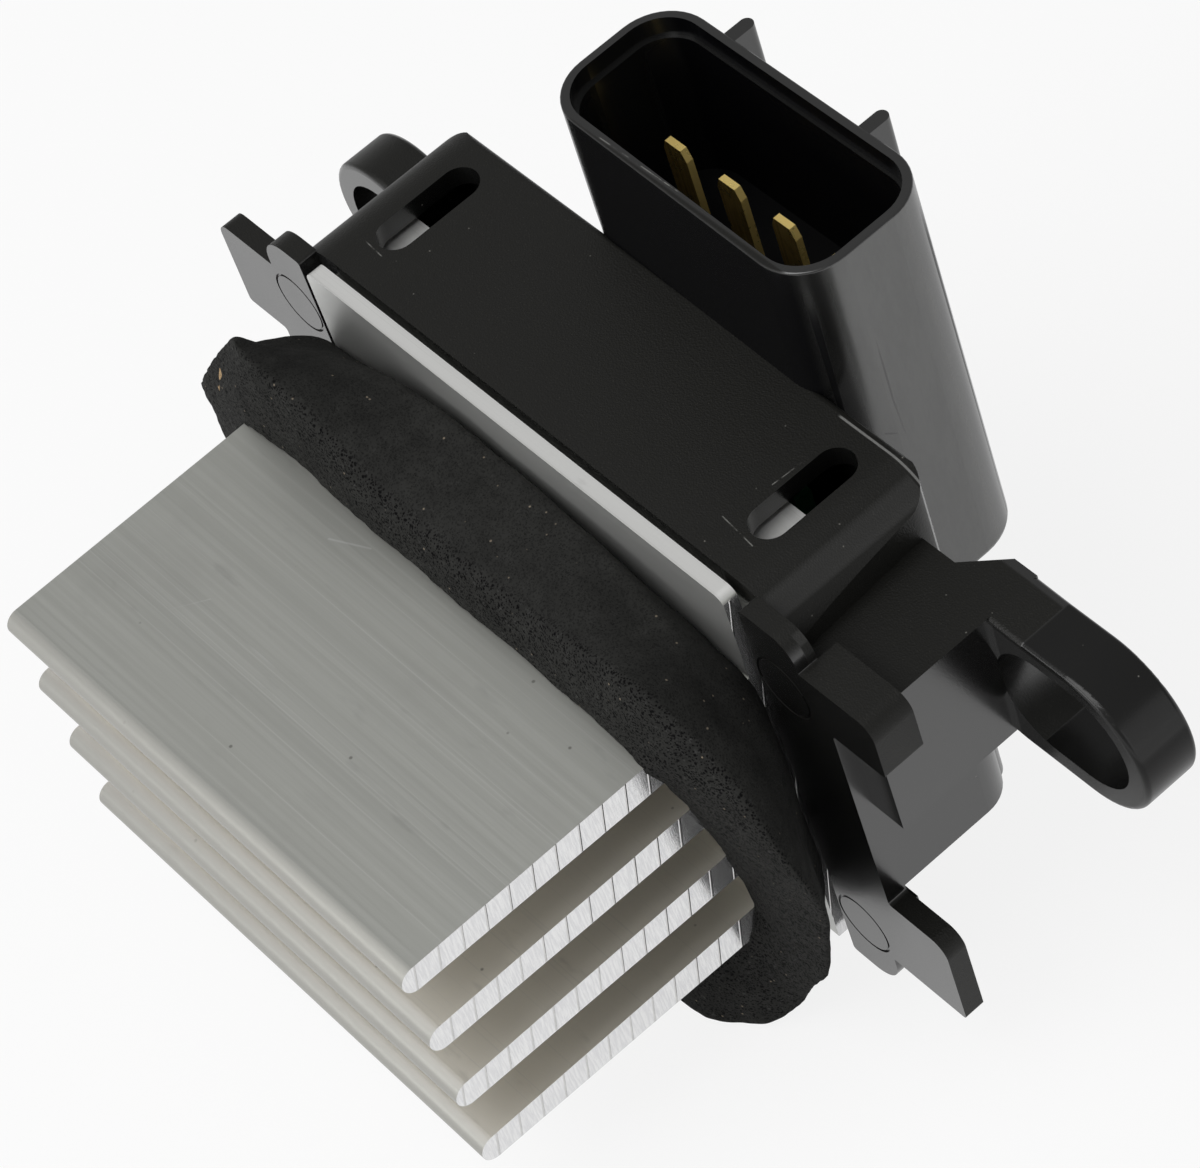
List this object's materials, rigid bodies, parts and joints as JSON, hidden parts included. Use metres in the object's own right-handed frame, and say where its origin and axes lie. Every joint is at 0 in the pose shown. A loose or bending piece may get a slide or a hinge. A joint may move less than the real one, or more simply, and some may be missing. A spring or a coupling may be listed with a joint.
{
  "type": "blower motor resistor",
  "caption": "Vehicle heater blower resistor: a finned heat sink with a foam gasket on a moulded housing with fixing ears, locating tabs and a bladed plug socket.",
  "frame": {"origin": "middle of the fins, on the front face of the heat sink's plate, which is the middle of the duct opening that the part closes", "axes": "+X along the fins' length, -Y the way the fins point into the duct, +Z the way the plug socket opens"},
  "size_m": [0.1007, 0.0698, 0.0603],
  "materials": {
    "aluminium": "satin",
    "housing_plastic": "matte",
    "gasket_foam": "matte",
    "terminal_brass": "satin",
    "board": "satin",
    "moulded_epoxy": "matte",
    "tinned_metal": "satin",
    "screw_steel": "satin",
    "insulating_sheet": "matte",
    "resistance_alloy": "satin",
    "can_sleeve": "satin",
    "chip_ceramic": "matte"
  },
  "bodies": {
    "root": {"housing": "housing_plastic", "heat_sink": "aluminium", "foam_gasket": "gasket_foam", "blade_terminal_1": "terminal_brass", "blade_terminal_2": "terminal_brass", "blade_terminal_3": "terminal_brass", "blade_terminal_4": "terminal_brass", "circuit_board": "board", "transistor_body_left": "moulded_epoxy", "transistor_body_right": "moulded_epoxy", "transistor_tab_left": "tinned_metal", "transistor_tab_right": "tinned_metal", "transistor_leads_left": "tinned_metal", "transistor_leads_right": "tinned_metal", "insulating_pad_left": "insulating_sheet", "insulating_pad_right": "insulating_sheet", "transistor_screws": "screw_steel", "screw_washers": "screw_steel", "heat_sink_screws": "screw_steel", "shunt_resistor": "resistance_alloy", "filter_capacitor": "can_sleeve", "capacitor_leads": "tinned_metal", "control_chip": "moulded_epoxy", "chip_legs": "tinned_metal", "chip_resistors": "moulded_epoxy", "chip_capacitors": "chip_ceramic", "zener_diode": "moulded_epoxy", "solder_joints": "tinned_metal"}
  },
  "joints": []
}
